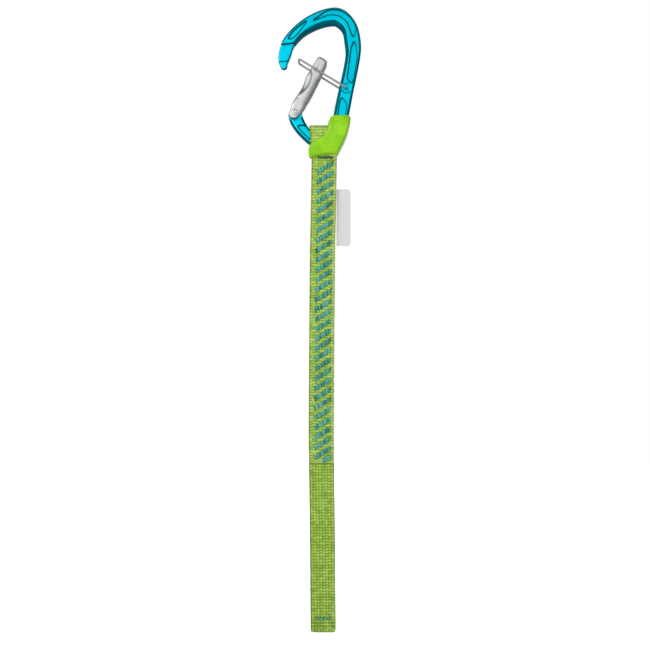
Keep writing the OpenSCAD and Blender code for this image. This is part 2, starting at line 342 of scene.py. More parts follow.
def mixed(tree, factor, a, b, how="MIX"):
    """Two colours mixed; a Mix node's colours are its inputs 6 and 7 and its output 2."""
    a, b = (c if isinstance(c, bpy.types.NodeSocket) else (*c, 1) for c in (a, b))
    return node(tree, "Mix", {0: factor, 6: a, 7: b}, data_type="RGBA", blend_type=how).outputs[2]


def shaded(tree, colour, value, *stops):
    """A colour multiplied by a ramp over a value."""
    return mixed(tree, 1.0, colour, ramp(tree, value, *stops), "MULTIPLY")


def anodised():
    """Blue anodised alloy: bright on its faces, with painted shade on its sides, in creases and round its
    pockets.
    """
    made, tree, shader = surface("anodised_blue", Metallic=0.85, Specular_Tint=(0.05, 0.5, 0.62, 1))
    where = place(tree)
    colour = ramp(tree, noise(tree, where, 90.0), (0.3, (0.0, 0.50, 0.66)), (0.7, (0.0, 0.60, 0.77)))
    # painted shade in concave creases, and a little on sharp outer edges, read from the mesh's pointiness
    crease = node(tree, "NewGeometry").outputs["Pointiness"]
    colour = shaded(tree, colour, crease, (0.42, grey(0.25)), (0.485, grey(1.0)), (0.56, grey(0.82)))
    # painted shade on the sides: the less a surface faces the front or back, the darker it is
    turned = node(tree, "SeparateXYZ", {"Vector": place(tree, "Normal")}).outputs["Y"]
    square_on = node(tree, "Math", {0: turned}, operation="ABSOLUTE").outputs[0]
    colour = shaded(tree, colour, square_on, (0.15, grey(0.15)), (0.9, grey(0.30)), (0.99, grey(1)))
    # painted shade round the pockets' rims, from the rim value kept on the mesh
    colour = shaded(tree, colour, stored(tree, "rim"), (0.15, grey(1)), (0.85, grey(0.42)))
    tree.links.new(colour, shader.inputs["Base Color"])
    grain = noise(tree, where, 2600.0, 2.0)
    tree.links.new(ramp(tree, grain, (0.3, grey(0.28)), (0.7, grey(0.40))), shader.inputs["Roughness"])
    bump(tree, shader, grain, 0.00002, 0.35)
    return made


def brushed(name, base, along, fine, roughness):
    """Bare metal with fine lines along a direction; fine is about how many there are in a metre."""
    made, tree, shader = surface(name, Metallic=1.0)
    turn = Vector((0, 0, 1)).rotation_difference(Vector(along)).inverted().to_euler()
    lined = node(
        tree, "Mapping", {"Vector": place(tree), "Rotation": tuple(turn), "Scale": (fine, fine, fine * 0.03)}
    ).outputs["Vector"]
    lines = noise(tree, lined, 1.0, 4.0)
    worn = noise(tree, place(tree), 260.0)
    dark = tuple(c * 0.88 for c in base)
    colour = mixed(tree, worn, ramp(tree, lines, (0.3, dark), (0.7, base)), base)
    # painted shade along any rims kept on the mesh, such as round the gate's scoops
    colour = shaded(tree, colour, stored(tree, "rim"), (0.3, grey(1)), (0.95, grey(0.3)))
    tree.links.new(colour, shader.inputs["Base Color"])
    tree.links.new(
        ramp(tree, lines, (0.3, grey(roughness * 0.9)), (0.7, grey(roughness * 1.15))),
        shader.inputs["Roughness"],
    )
    bump(tree, shader, lines, 0.00003, 0.12)
    return made


def rubber():
    made, tree, shader = surface(
        "lime_rubber", Specular_IOR_Level=0.25, Subsurface_Weight=0.12, Subsurface_Scale=0.002
    )
    where = place(tree)
    colour = ramp(tree, noise(tree, where, 80.0), (0.32, (0.17, 0.47, 0.0)), (0.68, (0.30, 0.67, 0.008)))
    tree.links.new(colour, shader.inputs["Base Color"])
    grain = noise(tree, where, 3200.0, 2.0)
    tree.links.new(ramp(tree, grain, (0.3, grey(0.36)), (0.7, grey(0.5))), shader.inputs["Roughness"])
    bump(tree, shader, grain, 0.00003, 0.4)
    return made


def webbing_cloth():
    made, tree, shader = surface("green_webbing", Sheen_Weight=0.15, Specular_IOR_Level=0.2, Roughness=0.8)
    woven = node(tree, "UVMap", uv_map="weave").outputs["UV"]
    drawn_out = node(tree, "Mapping", {"Vector": woven, "Scale": (9.0, 2.2, 1.0)}).outputs["Vector"]
    yarn = noise(tree, drawn_out, 1.0, 2.0)
    # the colour follows the relief: painted shade in the hollows between the ribs and in the creases
    colour = ramp(
        tree, stored(tree, "relief"),
        (0.0, (0.08, 0.15, 0.01)), (0.38, (0.29, 0.46, 0.055)), (0.85, (0.50, 0.70, 0.17)),
    )
    for value, stops in (
        (yarn, ((0.32, grey(0.72)), (0.62, grey(1.1)))),
        (stored(tree, "cell"), ((0.0, (0.86, 0.9, 0.75)), (1.0, (1.08, 1.05, 1.1)))),
        (noise(tree, place(tree), 75.0), ((0.3, (0.92, 0.97, 0.85)), (0.7, (1.06, 1.02, 1.1)))),
        # painted shade along the left edge and over the fold at the top
        (stored(tree, "border"), ((0.1, grey(1.0)), (0.9, (0.6, 0.52, 0.5)))),
        # painted light: the right edge is lighter and yellower
        (stored(tree, "right_edge_painted_light"), ((0.1, grey(1.0)), (0.9, (1.25, 1.06, 1.9)))),
        # painted shade round the needle holes of the slanting tacks
        (stored(tree, "needle_hole_shade"), ((0.15, grey(1.0)), (0.9, (0.08, 0.2, 0.3)))),
    ):
        colour = shaded(tree, colour, value, *stops)
    tree.links.new(colour, shader.inputs["Base Color"])
    bump(tree, shader, yarn, 0.0002, 0.6)
    return made


def sewing_thread(name, dark, light):
    made, tree, shader = surface(name, Sheen_Weight=0.1, Roughness=0.55, Specular_IOR_Level=0.3)
    where = place(tree)
    twist = node(
        tree, "TexWave", {"Vector": where, "Scale": 900.0, "Distortion": 1.5}, bands_direction="DIAGONAL"
    ).outputs["Fac"]
    # each thread's own lightness, with painted shade at its ends
    colour = mixed(tree, stored(tree, "tone"), dark, light)
    colour = shaded(tree, colour, twist, (0.2, grey(0.7)), (0.7, grey(1.1)))
    tree.links.new(colour, shader.inputs["Base Color"])
    bump(tree, shader, twist, 0.00008, 0.6)
    return made


def label_cloth():
    made, tree, shader = surface("label_cloth", Roughness=0.5, Sheen_Weight=0.1)
    where = place(tree)
    lines = node(
        tree, "TexWave", {"Vector": where, "Scale": 650.0, "Distortion": 0.6}, bands_direction="Z"
    ).outputs["Fac"]
    ribbed = ramp(tree, lines, (0, grey(0.6)), (1, grey(0.7)))
    colour = mixed(tree, noise(tree, where, 120.0), ribbed, (0.66, 0.66, 0.68))
    tree.links.new(colour, shader.inputs["Base Color"])
    bump(tree, shader, lines, 0.00003, 0.5)
    return made


def plastic():
    made, tree, shader = surface("insert_plastic", Specular_IOR_Level=0.4)
    where = place(tree)
    colour = ramp(tree, noise(tree, where, 300.0), (0.3, grey(0.03)), (0.7, grey(0.06)))
    rough = ramp(tree, noise(tree, where, 900.0), (0.3, grey(0.4)), (0.7, grey(0.6)))
    tree.links.new(colour, shader.inputs["Base Color"])
    tree.links.new(rough, shader.inputs["Roughness"])
    return made


def finish_with(ob, material):
    ob.data.materials.clear()
    ob.data.materials.append(material)


# ---------------------------------------------------------------- camera, light and floor

PICTURE_PX = 650
MM_PER_PX = 0.7013
CAMERA_MM = 546.0
CAMERA_X, CAMERA_Z = -0.00665, -0.2099
SENSOR_MM = 36.0
LAMPS_AIM = Vector((-0.005, 0, -0.15))


def camera():
    """Straight on to the front, with its picture centred beside the sling's upper half."""
    data = bpy.data.cameras.new("camera")
    data.sensor_width = SENSOR_MM
    data.lens = SENSOR_MM * CAMERA_MM / (PICTURE_PX * MM_PER_PX)
    ob = bpy.data.objects.new("camera", data)
    ob.location = (CAMERA_X, -CAMERA_MM * MM, CAMERA_Z)
    ob.rotation_euler = (math.pi / 2, 0, 0)
    bpy.context.scene.collection.objects.link(ob)
    bpy.context.scene.camera = ob


def lamp(name, at, size, power):
    data = bpy.data.lights.new(name, "AREA")
    data.size, data.energy = size, power
    ob = bpy.data.objects.new(name, data)
    ob.location = at
    ob.rotation_euler = (LAMPS_AIM - Vector(at)).to_track_quat("-Z", "Y").to_euler()
    bpy.context.scene.collection.objects.link(ob)


def studio():
    """Bright in front, behind and above, dim at the sides, and plain white to the camera."""
    world = bpy.data.worlds.new("studio")
    bpy.context.scene.world = world
    world.use_nodes = True
    tree = world.node_tree
    shell = tree.nodes["Background"]
    way = node(tree, "SeparateXYZ", {"Vector": place(tree, "Generated")})
    facing = node(tree, "Math", {0: way.outputs["Y"]}, operation="ABSOLUTE").outputs[0]
    upper_left = node(
        tree, "VectorMath", {0: place(tree, "Generated"), 1: (-0.85, -0.28, 0.45)}, operation="DOT_PRODUCT"
    ).outputs["Value"]
    glow = ramp(tree, facing, (0.1, grey(0.14)), (0.5, grey(0.32)), (0.95, grey(0.95)))
    for value, stops in (
        (upper_left, ((0.7, grey(0.0)), (0.93, grey(0.75)))),
        (way.outputs["Z"], ((0.3, grey(0.0)), (0.95, grey(0.4)))),
    ):
        glow = mixed(tree, 1.0, glow, ramp(tree, value, *stops), "LIGHTEN")
    seen = node(tree, "LightPath").outputs["Is Camera Ray"]
    tree.links.new(mixed(tree, seen, glow, grey(1.0)), shell.inputs["Color"])
    shell.inputs["Strength"].default_value = 1.0
    lamp("key", (-0.5, -0.75, 0.02), 0.7, 4.0)
    lamp("fill", (-0.75, -0.35, 0.32), 0.5, 1.6)
    lamp("back", (0.3, 0.6, 0.3), 0.5, 2.2)
    bpy.context.scene.view_settings.view_transform = "Standard"


def floor():
    """A round pale floor a little below the hanging object."""
    bpy.ops.mesh.primitive_circle_add(
        vertices=96, radius=0.9, fill_type="NGON", location=(0, 0, cad_low.z - 0.02)
    )
    ob = bpy.context.object
    ob.name = "floor"
    made, tree, shader = surface("floor_paint", Roughness=0.9, Emission_Strength=0.8)
    seen = node(tree, "LightPath").outputs["Is Camera Ray"]
    tree.links.new(mixed(tree, seen, grey(0.0), grey(1.0)), shader.inputs["Emission Color"])
    paint = ramp(tree, noise(tree, place(tree), 6.0), (0.3, grey(0.86)), (0.7, grey(0.88)))
    tree.links.new(paint, shader.inputs["Base Color"])
    ob.data.materials.append(made)


# ---------------------------------------------------------------- carabiner

# how far cut surfaces are rounded into each other, unless a softer or sharper value is given
SOFT = 0.3
BAR_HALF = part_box("carabiner_frame")[1].y / MM
# where a cut through the bar shows its whole outline, and where it shows its pockets
WHOLE_CUT, FACE_CUT = -1.0, 0.1 - BAR_HALF
# half thickness, edge radius and where a cut shows the outline: tip, hinge tang, nose, bar
BAR_TIERS = [(1.7, 0.8, None), (2.0, 0.6, -1.85), (2.4, 0.9, -2.2), (BAR_HALF, 2.1, FACE_CUT)]
POCKET_DEEP, POCKET_SOFT = 0.7, 0.25
DISH_DEEP, DISH_SOFT = 0.3, 0.9
PIN_HOLE_R = 0.9
# width of the bevel round the opening, at places in x
INNER_BEVEL = [(-34, 0.7), (-25, 1.3), (-12, 2.4)]
OPENING_MIDDLE = (-10, -32)
FORGED_STEP = 0.31
bail_pivot = np.array(joints["bail_swing"]["pos_m"]) / MM
gate_pivot = np.array(joints["gate_swing"]["pos_m"]) / MM
gate_up = np.array(joints["plunger_slide"]["axis"])
gate_right = np.array([gate_up[2], 0, -gate_up[0]])
TO_BACK = np.array([0, 1, 0])


def forged_bar(material):
    """The bar, built up from the CAD node's own outlines at each of its thicknesses."""
    low, high = in_mm(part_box("carabiner_frame"))
    x, y, z = axes = axes_between(low - 0.8, high + 0.8, FORGED_STEP)
    height = np.abs(y)[None, :, None]
    whole = inside_outline(cut_outlines("carabiner_frame", WHOLE_CUT)[0], x, z)
    # the edge round the opening is bevelled too, and more so towards the spine
    slope_x, slope_z = np.gradient(whole, FORGED_STEP)
    to_x, to_z = OPENING_MIDDLE[0] - x[:, None], OPENING_MIDDLE[1] - z[None, :]
    facing = (slope_x * to_x + slope_z * to_z) / np.hypot(to_x, to_z)
    bevel = np.interp(x, *zip(*INNER_BEVEL))[:, None] * np.clip(3 * facing, 0, 1)
    slant = (whole + bevel)[:, None, :] + height - BAR_HALF
    field = np.inf
    for half, edge, cut in BAR_TIERS:
        tier = rounded_slab(whole, y, half, edge)
        if cut is not None:
            within = inside_outline(cut_outlines("carabiner_frame", cut)[0], x, z)
            tier = blend_max(tier, within[:, None, :], SOFT)
        if half == BAR_HALF:
            tier = blend_max(tier, slant / math.sqrt(2), SOFT)
        field = np.minimum(field, tier)
    rims = np.full(whole.shape, np.inf)
    for rim in cut_outlines("carabiner_frame", FACE_CUT)[1:]:
        hollow = inside_outline(rim, x, z)
        is_dish = np.linalg.norm(rim.mean(axis=0) - bail_pivot[[0, 2]]) < 2
        if not is_dish:
            rims = np.minimum(rims, np.abs(hollow + 0.1))
        deep, soft = (DISH_DEEP, DISH_SOFT) if is_dish else (POCKET_DEEP, POCKET_SOFT)
        recess = blend_max(hollow[:, None, :], BAR_HALF - deep - height, SOFT)
        field = blend_max(field, -recess, soft)
    pin = np.hypot(x[:, None, None] - bail_pivot[0], z[None, None, :] - bail_pivot[2])
    field = np.maximum(field, PIN_HOLE_R - pin)
    ob = skin("forged_frame", field, axes)
    # a dark line of painted shade round each pocket's rim, kept for the material to read
    keep_value(ob, "rim", read_flat(np.exp(-((rims / 0.6) ** 2)), x, z, vertices_of(ob)))
    finish_with(ob, material)
    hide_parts("carabiner_frame")
    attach(ob, "carabiner")


GATE_RIM = [
    (-3.5, 0), (-4.8, 6), (-4.8, 11), (-4.1, 16), (-4.3, 21), (-5.1, 26), (-4.8, 31), (-4.5, 37),
    (-4.2, 40.6), (-3.1, 42.5), (-0.2, 42.8), (2.9, 42.3), (4.0, 40.4), (4.4, 35), (4.9, 28), (5.1, 20),
    (5.1, 12), (4.2, 4), (3.3, -0.6), (0, -2),
]
GATE_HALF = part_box("gate_body")[1].y / MM
GATE_STEP = 0.22
# the heel's radius round the rivet, and how far below the rivet its middle is
HEEL_R, HEEL_DROP = 3.8, 1.1
# the thumb scoops: radius, distance from the gate's middle and height above the rivet
SCOOP_R, SCOOP_NEAR, SCOOP_UP = 32, 3.7, 20.8
# half widths along y of the slot in the tip and of the fork, each with the height where it starts
TIP_SLOT, FORK = (2.75, 29.5), (2.3, 6.8)
BORE_R, BORE_TOP = 2.1, 26.5
# the dimples are cut by balls: radius, middle's distance outside the face, and place on the face
DIMPLE_R, DIMPLE_OUT, DIMPLE_AT = 1.5, 0.9, (-0.2, 33.4)
RIVET_SEAT_R, RIVET_SEAT_DEEP = 2.13, 0.3


def gate_edge(up):
    """The edge's radius: a round bar that squares off at its fork and where its end is slotted."""
    return np.interp(up, (5, 10, 27, 32), (2.0, GATE_HALF - 0.2, GATE_HALF - 0.2, 2.5))


def scoops(gx, gy, gz):
    """The thumb scoops, which face outwards and to the front and the back."""
    outwards = -0.6 * gx + 0.8 * np.abs(gy)
    return SCOOP_R - np.hypot(outwards - SCOOP_NEAR - SCOOP_R, gz - SCOOP_UP)


def gate(material):
    """The gate in its own upright frame, then leaned over from the rivet."""
    x, y, z = axes = axes_between((-6.5, -GATE_HALF - 0.6, -7), (6.5, GATE_HALF + 0.6, 44), GATE_STEP)
    gx, gy, gz = x[:, None, None], y[None, :, None], z[None, None, :]
    flat = inside_outline(smooth_line(GATE_RIM, 5, closed=True), x, z)
    heel = np.hypot(x[:, None], z[None, :] + HEEL_DROP) - HEEL_R
    flat = blend_min(flat, heel, 1.0)
    field = rounded_slab(flat, y, GATE_HALF, gate_edge(z)[None, None, :])
    field = blend_max(field, scoops(gx, gy, gz), 0.15)
    tip_slot = np.maximum(np.abs(gy) - TIP_SLOT[0], TIP_SLOT[1] - gz)
    fork = np.maximum(np.abs(gy) - FORK[0], gz - FORK[1])
    bore = np.maximum(np.hypot(gx, gy) - BORE_R, gz - BORE_TOP)
    for hollow in (tip_slot, fork, bore):
        field = blend_max(field, -hollow, SOFT)
    for side in FRONT_BACK:
        off_face = gy - side * (GATE_HALF + DIMPLE_OUT)
        dimple = np.sqrt((gx - DIMPLE_AT[0]) ** 2 + off_face**2 + (gz - DIMPLE_AT[1]) ** 2) - DIMPLE_R
        seat = np.maximum(np.hypot(gx, gz) - RIVET_SEAT_R, GATE_HALF - RIVET_SEAT_DEEP - side * gy)
        field = blend_max(blend_max(field, -dimple, 0.2), -seat, 0.1)
    ob = skin("gate", field, axes)
    co = vertices_of(ob)
    edge = gate_edge(co[:, 2])
    body = rounded(read_flat(flat, x, z, co) + edge, np.abs(co[:, 1]) - (GATE_HALF - edge), edge)
    # the scoops' rims are where the rounded body meets them, and a dark line of painted shade is kept along
    # them
    keep_value(ob, "rim", np.exp(-(((body + scoops(*co.T)) / 0.45) ** 2)))
    placed = gate_pivot + co[:, :1] * gate_right + co[:, 1:2] * TO_BACK + co[:, 2:] * gate_up
    ob.data.vertices.foreach_set("co", (placed * MM).ravel())
    ob.data.update()
    finish_with(ob, material)
    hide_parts("gate_body")
    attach(ob, "gate")


def lathe(name, profile, centre, sides=40):
    """A solid turned about the y axis through centre, from radius and y pairs, in mm."""
    turn = np.linspace(0, 2 * math.pi, sides, endpoint=False)
    verts = [
        (centre[0] + r * math.cos(a), y, centre[2] + r * math.sin(a)) for r, y in profile for a in turn
    ]
    last = (len(profile) - 1) * sides
    faces = [
        (i + k, i + sides + k, i + sides + (k + 1) % sides, i + (k + 1) % sides)
        for i in range(0, last, sides)
        for k in range(sides)
    ]
    faces += [tuple(range(sides)), tuple(last + k for k in reversed(range(sides)))]
    ob = mesh_object(name, verts, faces)
    ob.data.set_sharp_from_angle(angle=math.radians(40))
    return ob


def rivet(material):
    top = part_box("gate_rivet")[1].y / MM
    # a dimpled, rounded head, then the start of the shank
    half = [
        (0.2, top - 0.4), (0.5, top - 0.36), (0.75, top - 0.06), (1.0, top),
        (1.6, top - 0.06), (1.95, top - 0.2), (2.1, top - 0.42), (1.45, top - 0.52),
    ]
    ob = lathe("rivet", half + [(r, -y) for r, y in reversed(half)], gate_pivot)
    finish_with(ob, material)
    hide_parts("gate_rivet")
    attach(ob, "carabiner")


WIRE_R = 0.7
# radii of the bends beside the pins and at the wire's far end
PIN_BEND, END_BEND = 1.3, 2.2
# each pin's inner end, and a point further out on it, in y
PIN_FROM, PIN_TO = 1.4, 2.6
# the legs close in on the gate's dimples: distance from the pins, depth and length
DETENT_AT, DETENT_DEEP, DETENT_LONG = 24.35, 0.22, 1.1
# and bend in a little over their whole length
LEG_BOW = 0.06


def arc(centre, radius, start, stop, steps):
    """Points on an arc in a leg's own along and across directions."""
    turn = np.radians(np.linspace(start, stop, steps))
    return [(centre[0] + radius * math.cos(a), centre[1] + radius * math.sin(a)) for a in turn]


def bail(material):
    """The wire, from one pin in the spine round the bend to the other pin."""
    co = vertices_of(frame["nodes"]["wire_bail"])
    off = (co - bail_pivot) * (1, 0, 1)
    far = off[np.linalg.norm(off, axis=1).argmax()]
    reach = np.linalg.norm(far) - WIRE_R
    along = far / np.linalg.norm(far)
    leg_y = co[:, 1].max() - WIRE_R
    side = [(0, PIN_FROM), (0, PIN_TO)] + arc((PIN_BEND, leg_y - PIN_BEND), PIN_BEND, 180, 90, 7)
    for s in np.arange(PIN_BEND + 1, reach - END_BEND, 1.0):
        kink = DETENT_DEEP * math.exp(-(((s - DETENT_AT) / DETENT_LONG) ** 2))
        side.append((s, leg_y - kink - LEG_BOW * math.sin(math.pi * s / reach)))
    side += arc((reach - END_BEND, leg_y - END_BEND), END_BEND, 90, 0, 9)
    path = side + [(reach, 0)] + [(s, -w) for s, w in reversed(side)]
    points = [bail_pivot + along * s + TO_BACK * w for s, w in path]
    ob = tubes("bail_wire", [smooth_line(points, 2)], WIRE_R, 20)
    finish_with(ob, material)
    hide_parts("wire_bail")
    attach(ob, "bail")


SPRING_FOOT, SPRING_TOP = 12.35, 26.15
COIL_R, COIL_WIRE_R, COIL_TURNS = 1.6, 0.25, 7


def coil_spring(material):
    """The gate spring, coiled from its foot at the plunger up to its top in the gate."""
    t = np.linspace(0, 1, 40 * COIL_TURNS)
    # the coils are closer together at both ends and in the middle
    share = t - 0.315 * np.sin(4 * math.pi * t) / (4 * math.pi)
    rise = SPRING_FOOT + (SPRING_TOP - SPRING_FOOT) * share
    turn = 2 * math.pi * COIL_TURNS * t
    points = (
        gate_pivot
        + (COIL_R * np.cos(turn))[:, None] * gate_right
        + (COIL_R * np.sin(turn))[:, None] * TO_BACK
        + rise[:, None] * gate_up
    )
    ob = tubes("coil_spring", [points], COIL_WIRE_R, 10)
    finish_with(ob, material)
    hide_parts("gate_spring")
    ends = [(gate_pivot + gate_up * s) * MM for s in (SPRING_TOP, SPRING_FOOT)]
    tuple(ends[0])
    tuple(ends[1])
    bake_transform(ob)


# ---------------------------------------------------------------- webbing

WEB_HALF = 1.0
WEB_W = 17.5
WEB_EDGE = 0.55
# length of one rib along the band, and warp columns across it
RIB = 2.0
COLUMNS = 8
LOOP_START = -306.8
# height and width of each crease across the band
CREASES = [(LOOP_START, 0.5), (-416.8, 0.45), (-419.4, 0.4)]
# where the two layers come together under the keeper, and how much their inner faces are thickened
TOGETHER_TOP, TOGETHER_BY = -93.2, 0.9
# height and depth over which the end fold's corners are rounded off
END_CORNER_UP, END_CORNER_IN = 3.2, 2.6
# right end of the fold inside the carabiner, beside the bar
FOLD_RIGHT = -2.6
sling_low, sling_high = in_mm(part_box("webbing_sling"))
insert_top = in_mm(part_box("sling_stiffener"))[1][2]
loop_high = in_mm(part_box("sling_top_loop"))[1]

# middle of the sling across x, at heights down its length
SLING_MIDDLE = [
    (-70, -8.4), (-93, -7.2), (-120, -7.6), (-158, -8.4), (-242, -9.1), (-291, -9.3),
    (-330, -8.8), (-361, -8.4), (-426, -7.9),
]


def sling_middle(z):
    return np.interp(z, *zip(*reversed(SLING_MIDDLE)))


def above_neck(z):
    """From 0 where the webbing leaves the keeper to 1 inside the carabiner, where it is wider."""
    return np.clip((z + 93) / 23, 0, 1)


def band_path():
    """The middle of the webbing's thickness, right round its closed loop, as y and z in mm."""
    spread = loop_high[1] - WEB_HALF
    pressed = 1.6
    end_gap = sling_high[1] - WEB_HALF
    crown = 4.2
    crown_z = loop_high[2] - WEB_HALF - crown
    end_z = sling_low[2] + WEB_HALF + end_gap
    top = [(spread * math.sin(a), crown_z + crown * math.cos(a)) for a in np.radians(range(0, 90, 15))]
    down = [
        (spread, crown_z - 1), (spread, -80), (spread, -84), (4.4, -88), (2.3, -91.6), (pressed, -94),
        (pressed, -100), (pressed, -200), (pressed, -296), (pressed, -306), (2.3, -330), (3.3, -360),
        (4.1, -390), (end_gap, -410), (end_gap, end_z),
    ]
    bottom = [
        (end_gap * math.cos(a), end_z - end_gap * math.sin(a)) for a in np.radians(range(15, 91, 15))
    ]
    back = smooth_line(top + down + bottom, 12)
    loop = np.vstack([back, (back * (-1, 1))[::-1][1:-1]])
    closed = np.vstack([loop, loop[:1]])
    length = np.concatenate([[0], np.cumsum(np.linalg.norm(np.diff(closed, axis=0), axis=1))])
    # four rings to a rib, and a whole number of ribs
    count = int(round(length[-1] / RIB)) * 4
    at = np.linspace(0, length[-1], count, endpoint=False)
    return np.stack([np.interp(at, length, closed[:, i]) for i in (0, 1)], 1), at


def edge_places(path):
    """Left and right edges of the band in x, at each point of its path."""
    y, z = path[:, 0], path[:, 1]
    middle = sling_middle(z)
    spread = above_neck(z)
    # the end fold's corners are rounded off
    past = np.clip((sling_low[2] + WEB_HALF + END_CORNER_UP - z) / END_CORNER_UP, 0, 1)
    drawn = END_CORNER_IN * (1 - np.sqrt(1 - past**2))
    left = middle - WEB_W / 2 - 0.55 * spread + drawn
    right = middle + WEB_W / 2 - 0.4 * spread - drawn
    # inside the carabiner the fold gathers beside the bar
    fold = np.clip((z + 76) / 3, 0, 1) * np.clip((5.6 - np.abs(y)) / 0.6, 0, 1)
    return left, right + (FOLD_RIGHT - right) * fold


def near_height(z, where, width):
    return np.exp(-(((z - where) / width) ** 2))


def weave(along, column, height):
    """How far out each rib stands, each cell's own tone, and the weave's relief with its creases."""
    rng = np.random.default_rng(5)
    rows = along / RIB
    cells = rng.uniform(0, 1, (int(rows.max()) + 2, COLUMNS + 1))
    row_number, column_number = np.floor(rows).astype(int)[:, None], np.floor(column).astype(int)[None, :]
    cell = cells[row_number, column_number]
    shift = 0.14 * np.sin(2.3 * column_number + 0.37 * row_number)
    # each rib bulges between its neighbours, and each column pinches it, more so in the open loop
    rib = np.abs(np.sin(math.pi * (rows[:, None] + shift))) ** 0.75
    pinch = np.abs(np.sin(math.pi * (column + 1e-6)))[None, :] ** 0.6
    loose = np.where(height < LOOP_START, 0.6, 0.28)[:, None]
    relief = rib * (1 - loose * (1 - pinch)) * (0.64 + 0.36 * cell)
    # creases where the plain loop begins and above the end fold
    crease = sum(near_height(height, *at) for at in CREASES)[:, None]
    return rib, cell, np.clip(relief * (1 - 0.85 * crease), 0, 1), crease


def woven_band(material):
    """The webbing as one closed band, with its ribs and creases in the mesh."""
    path, along = band_path()
    height = path[:, 1]
    left, right = edge_places(path)
    ahead = np.roll(path, -1, axis=0) - np.roll(path, 1, axis=0)
    ahead /= np.linalg.norm(ahead, axis=1)[:, None]
    inwards = np.stack([ahead[:, 1], -ahead[:, 0]], 1)
    # cross-section: inner face, rounded edge, outer face, rounded edge
    inner, outer = 33, 17
    across = np.concatenate([
        np.linspace(0, 1, inner), [1.0] * 3, np.linspace(1, 0, outer), [0.0] * 3
    ])
    lift = np.concatenate([[1.0] * inner, [0.7, 0, -0.7], [-1.0] * outer, [-0.7, 0, 0.7]])
    bulge = np.concatenate([[0.0] * inner, [0.8, 1, 0.8], [0.0] * outer, [-0.8, -1, -0.8]])
    rib, cell, relief, crease = weave(along, across * COLUMNS, height)
    width = (right - left)[:, None]
    scallop = 0.3 * (rib - 0.6)
    x = left[:, None] + WEB_EDGE + across * (width - 2 * WEB_EDGE) + bulge * (WEB_EDGE + scallop)
    thick = WEB_HALF - 0.34 * (1 - relief) * (np.abs(lift) == 1) - 0.3 * crease
    # the two layers meet between the keeper and the top of the stiff insert
    together = np.clip(TOGETHER_TOP - height, 0, 1) * np.clip((height - insert_top) / 1.2 + 1, 0, 1)
    offset = lift * (thick + TOGETHER_BY * together[:, None] * (lift > 0))
    verts = np.stack([
        x, path[:, :1] + offset * inwards[:, :1], path[:, 1:] + offset * inwards[:, 1:]
    ], 2).reshape(-1, 3)
    rings, points = x.shape
    i, k = np.meshgrid(np.arange(rings), np.arange(points), indexing="ij")
    i2, k2 = (i + 1) % rings, (k + 1) % points
    faces = np.stack([i * points + k, i * points + k2, i2 * points + k2, i2 * points + k], 2)
    ob = mesh_object("woven_band", verts, faces.reshape(-1, 4).tolist())
    keep_value(ob, "relief", relief)
    keep_value(ob, "cell", cell)
    # painted shade along the left edge and over the fold at the top of the band
    top_fold_shade = near_height(height, height.max(), 2.2)[:, None] * 0.8
    keep_value(ob, "border", np.maximum(np.exp(-(((x - left[:, None]) / 0.9) ** 2)), top_fold_shade))
    # painted light along the right edge
    keep_value(ob, "right_edge_painted_light", np.exp(-(((x - right[:, None]) / 1.1) ** 2)))
    keep_value(ob, "needle_hole_shade", needle_hole_shade(verts))
    layer = ob.data.uv_layers.new(name="weave")
    corner = np.zeros(len(ob.data.loops), int)
    ob.data.loops.foreach_get("vertex_index", corner)
    uv = np.stack([x.ravel()[corner], along[corner // points]], 1)
    layer.data.foreach_set("uv", uv.astype(np.float32).ravel())
    finish_with(ob, material)
    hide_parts("webbing_sling", "sling_top_loop")
    bend_at_neck(ob)


def bend_at_neck(ob):
    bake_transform(ob)


# ---------------------------------------------------------------- stitching

THREAD_R, NECK_THREAD_R, LOW_THREAD_R = 0.48, 0.3, 0.24
# the webbing's face in y, and how far a thread stands out from it
FACE_Y, PROUD = 2.6, 0.3
# a slanting tack's width, its rise across that width and the height of its band of stitches
TACK_W, TACK_RISE, TACK_BAND = 11.4, 6.8, 3.1
# how far right of the sling's middle the slanting tacks are
TACK_ASIDE = 0.6
TACKS, TACK_TOP, TACK_PITCH = 30, -100.1, 6.87
STITCHES = 12
NECK_STITCHES = 14
# how dark or light each thread of the low tack is
LOW_TONES = [0.1, 0.5, 0.2, 0.0, 0.6, 0.1, 0.3, 0.7, 0.0, 0.4, 0.2]


def stitch(start, stop, face, low, proud):
    """One thread lying over the webbing, with both ends down in it."""
    (x0, z0), (x1, z1) = start, stop
    share = np.array([0, 0.08, 0.25, 0.5, 0.75, 0.92, 1])
    height = np.array([-0.6, -0.1, 0.9, 1.0, 0.9, -0.1, -0.6]) * proud
    return np.stack([x0 + (x1 - x0) * share, face * (low + height), z0 + (z1 - z0) * share], 1)


def zigzag(k, lean):
    return lean if k % 2 else -lean


def tack_stitches():
    """Both ends of every stitch in the slanting tacks, in x and z; the last tack is half width."""
    rng = np.random.default_rng(11)
    lean = TACK_W / STITCHES * 0.32
    found = []
    for i in range(TACKS + 1):
        z = TACK_TOP - (i - 0.15 * (i == TACKS)) * TACK_PITCH
        middle = float(sling_middle(z)) + TACK_ASIDE
        for k in range(STITCHES // 2 if i == TACKS else 0, STITCHES):
            share = (k + 0.5) / STITCHES - 0.5
            x = middle + share * TACK_W + rng.uniform(-0.1, 0.1)
            centre = z + share * TACK_RISE
            half = TACK_BAND / 2 * rng.uniform(0.88, 1.1)
            way = zigzag(k, lean)
            found.append(((x - way, centre - half), (x + way, centre + half)))
    return found


